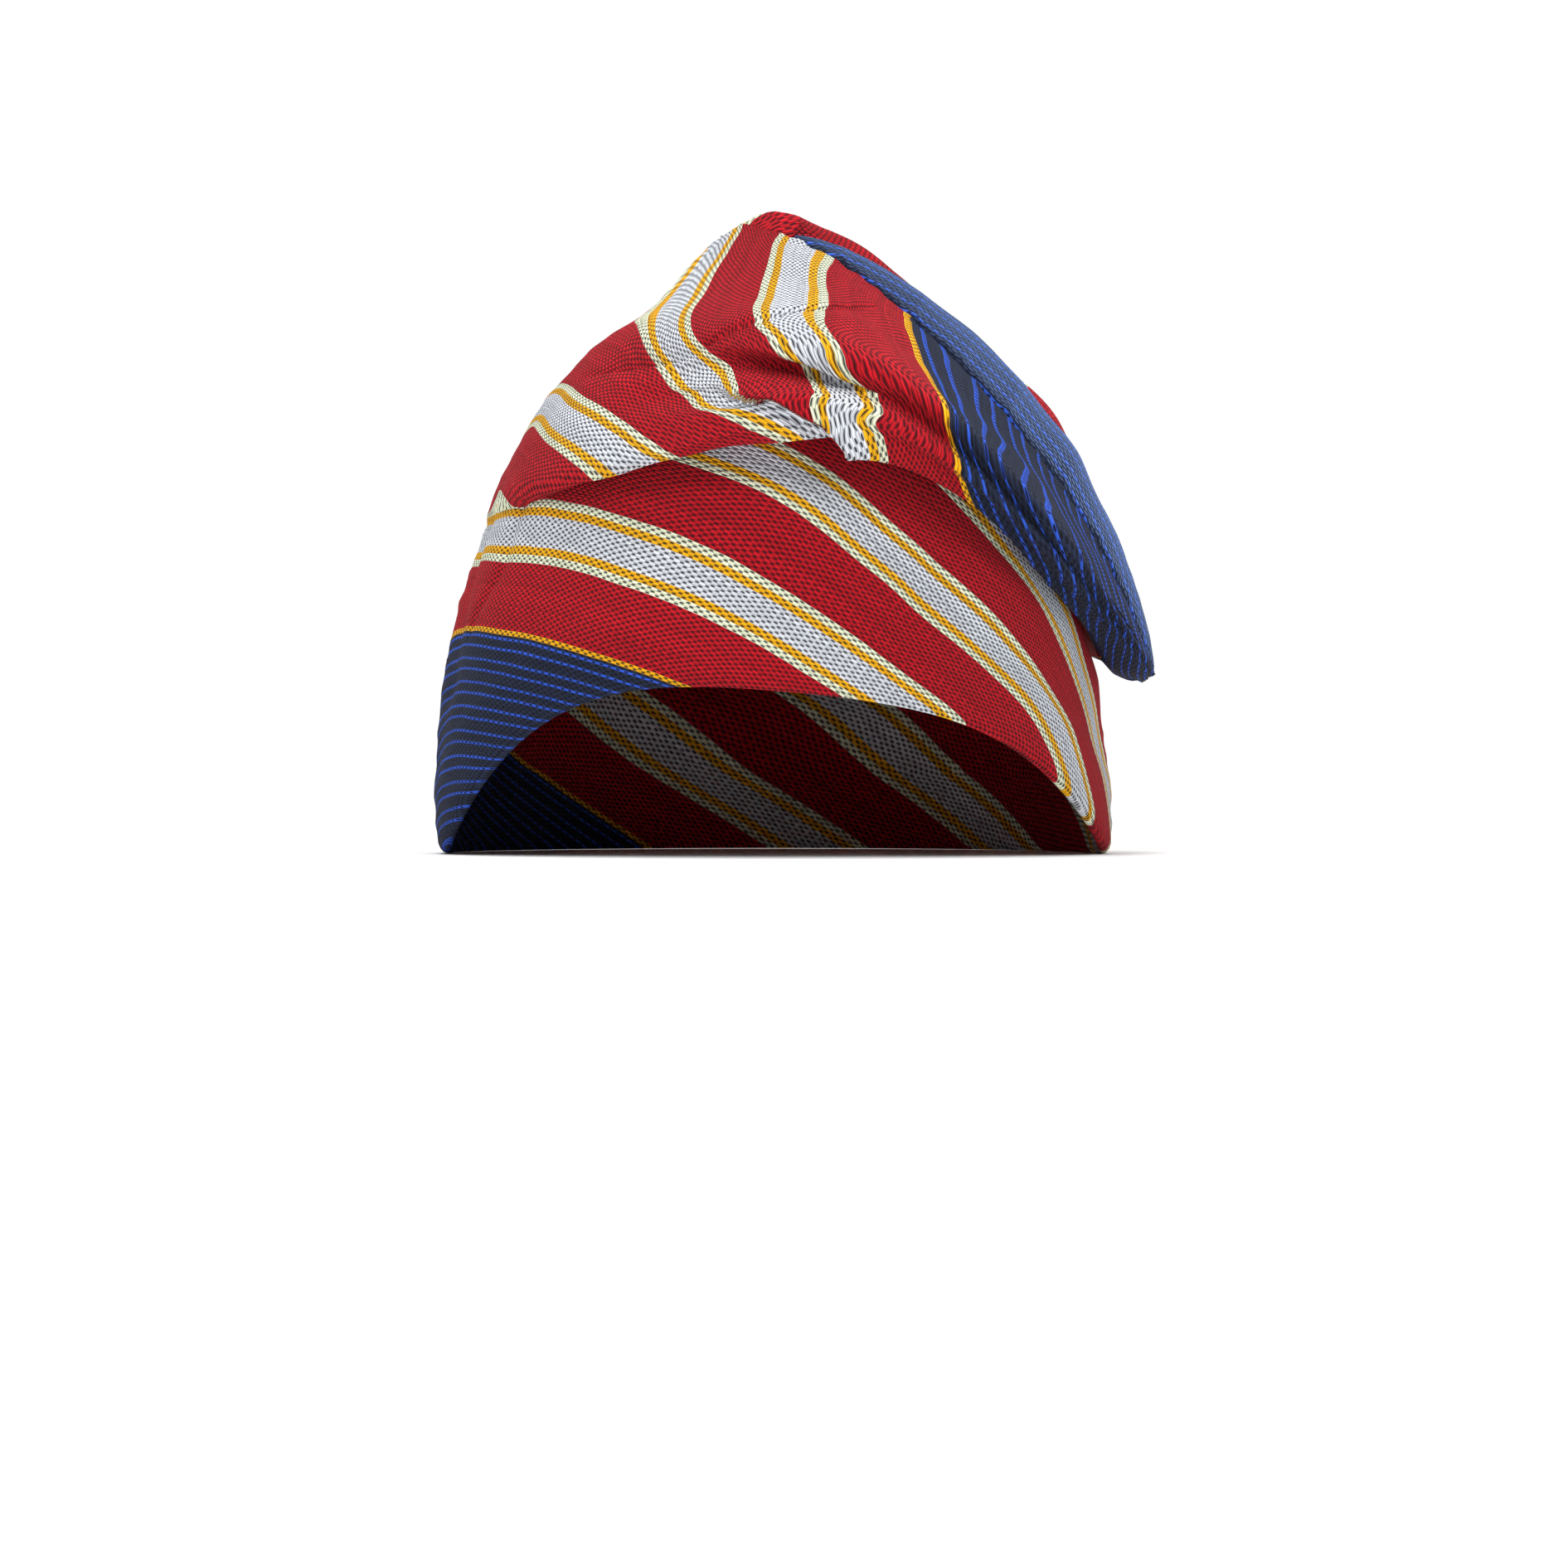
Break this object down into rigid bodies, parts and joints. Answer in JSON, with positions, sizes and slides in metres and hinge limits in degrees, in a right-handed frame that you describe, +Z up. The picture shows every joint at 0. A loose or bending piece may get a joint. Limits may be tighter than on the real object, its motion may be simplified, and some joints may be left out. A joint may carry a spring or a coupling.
{
  "type": "aso oke fila cap",
  "caption": "Soft striped strip-cloth cap with a folded-down crown, a crest strip between its panels, an arched brow edge and an open hollow for the head.",
  "frame": {"origin": "under the middle of the cap's box, on the surface that the rim rests on", "axes": "+Z up from the rim to the crest, -Y towards the brow, +X towards the hanging tip"},
  "size_m": [0.1768, 0.2142, 0.1542],
  "materials": {
    "striped_cloth": "coarse warp-faced strip weave in red, white, gold and navy stripes",
    "blue_cloth": "coarse warp-faced strip weave in navy with bright blue lines"
  },
  "bodies": {
    "root": {"front_panel": "striped_cloth", "back_panel": "striped_cloth", "crown_strip": "blue_cloth"}
  },
  "joints": []
}
